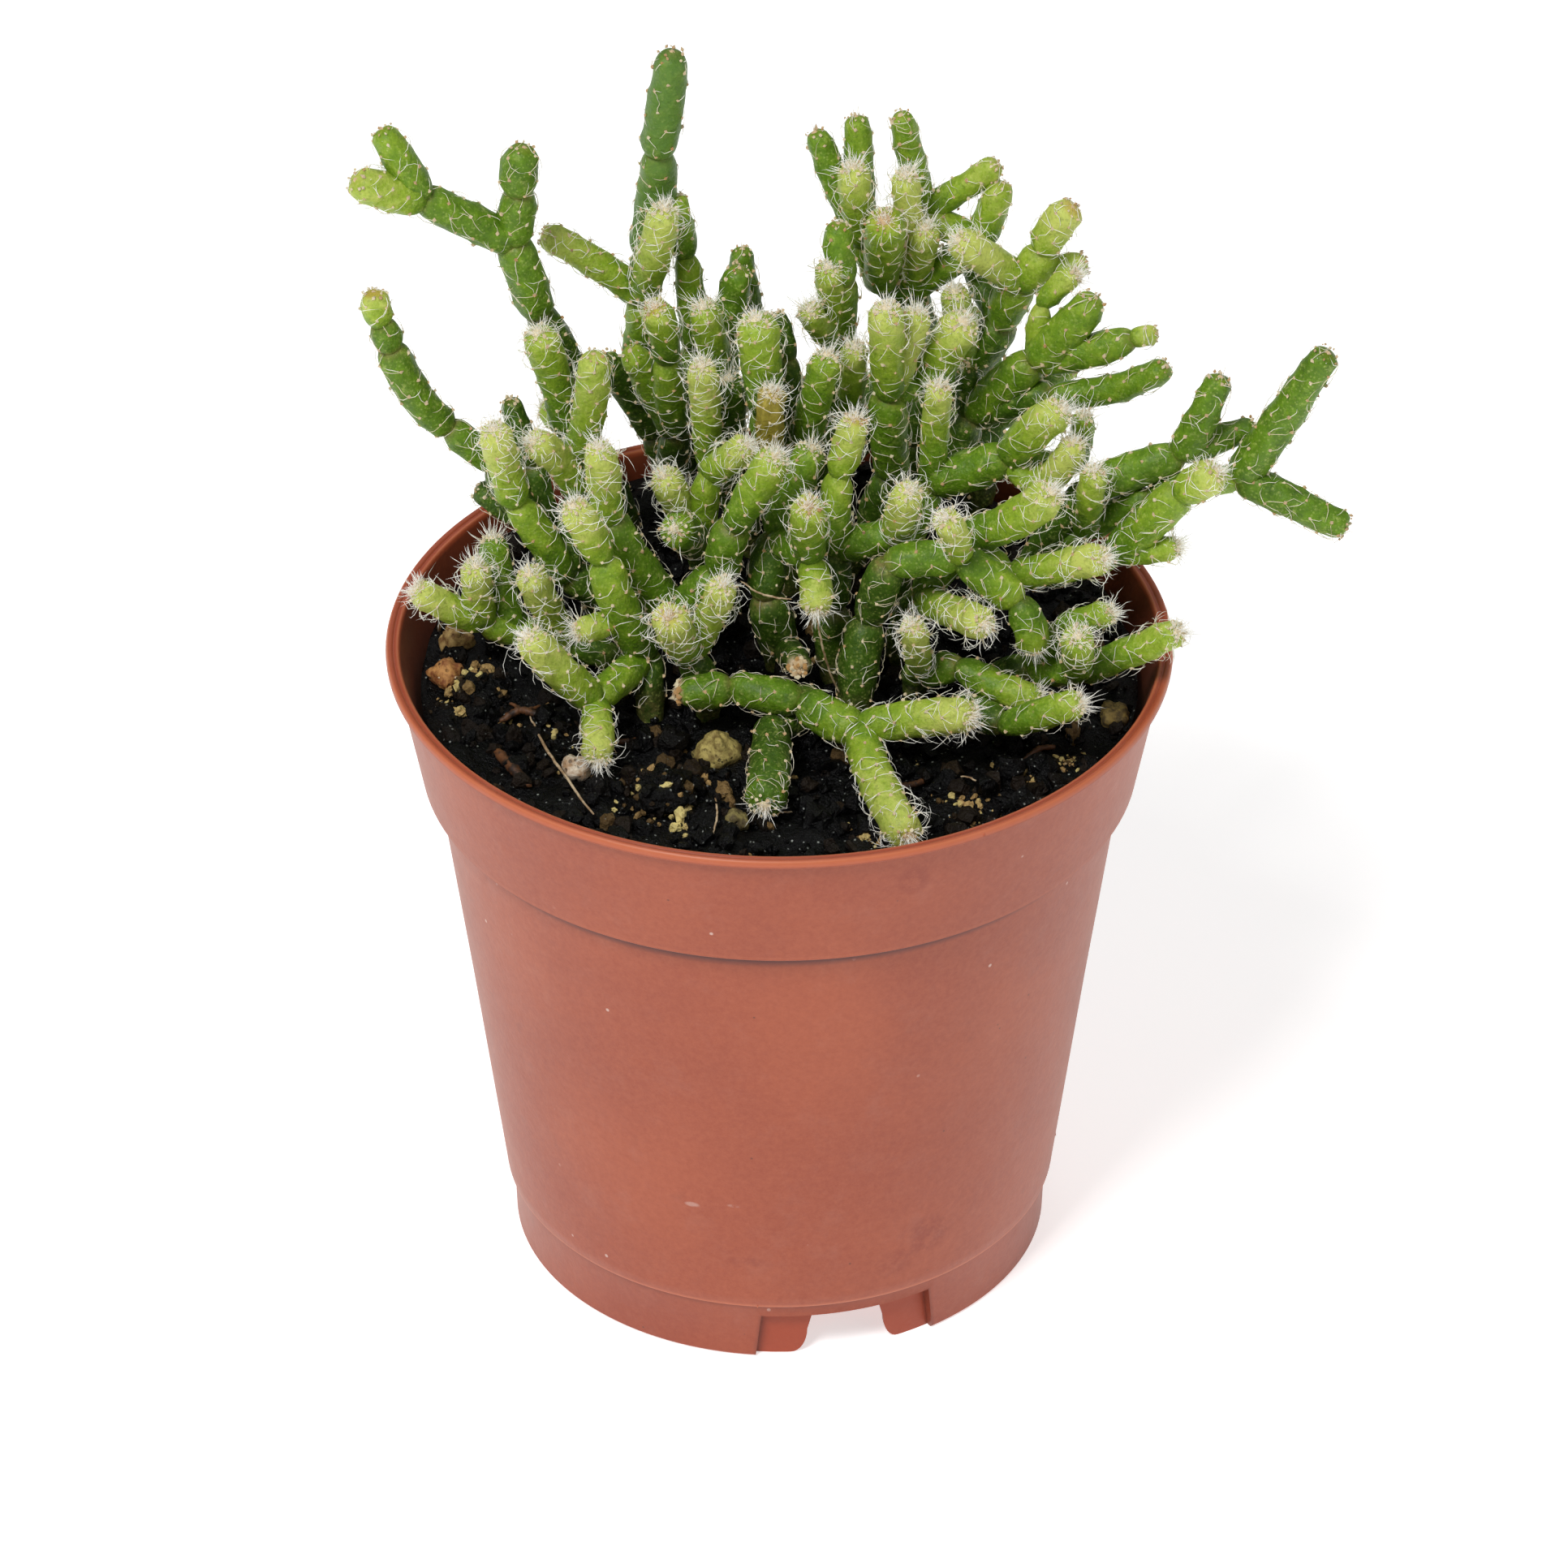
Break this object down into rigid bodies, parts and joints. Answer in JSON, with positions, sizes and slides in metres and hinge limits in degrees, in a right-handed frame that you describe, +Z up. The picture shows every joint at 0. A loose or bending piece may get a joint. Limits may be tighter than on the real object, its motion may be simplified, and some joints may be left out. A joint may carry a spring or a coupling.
{
  "type": "mistletoe cactus in a nursery pot",
  "caption": "Bristly mistletoe cactus: a dense clump of short, branching, sausage-shaped stems with white bristles, rooted in peat in a small tapered plastic pot.",
  "frame": {"origin": "on the ground, on the pot's axis: the middle of the flat pad under the pot's floor, level with the foot ring", "axes": "+Z up along the pot's axis; the plant's front faces -Y, and +X is to the viewer's right"},
  "size_m": [0.0688, 0.0581, 0.0877],
  "materials": {
    "pot": "satin",
    "soil": "matte",
    "stem": "satin",
    "pumice_tan": "matte",
    "pumice_olive": "matte",
    "perlite": "matte",
    "clod": "matte",
    "bark": "matte"
  },
  "bodies": {
    "root": {"pot": "pot", "soil": "soil", "pumice_left": "pumice_tan", "pumice_wall": "pumice_tan", "perlite_front": "perlite", "pumice_round": "pumice_olive", "pumice_small": "pumice_olive", "pumice_right": "pumice_olive", "clod_front": "clod", "bark_left": "bark", "cutting_left_arch": "stem", "cutting_left": "stem", "cutting_left_low": "stem", "cutting_front_left": "stem", "cutting_front_mid": "stem", "cutting_left_mid": "stem", "cutting_mid": "stem", "cutting_back_left": "stem", "cutting_left_pair": "stem", "cutting_tall": "stem", "cutting_centre_left": "stem", "cutting_centre": "stem", "cutting_arch_centre": "stem", "cutting_bridge": "stem", "cutting_right_inner": "stem", "cutting_right_dark": "stem", "cutting_right_mid": "stem", "cutting_right_low": "stem", "cutting_right_front": "stem", "cutting_right_edge": "stem", "cutting_right_arm": "stem", "cutting_right_centre": "stem", "cutting_right_back": "stem", "cutting_right_top": "stem", "cutting_top": "stem", "cutting_centre_back": "stem", "cutting_right_upper": "stem", "cutting_rear_left": "stem", "cutting_rear_mid": "stem", "cutting_rear_right": "stem"}
  },
  "joints": []
}
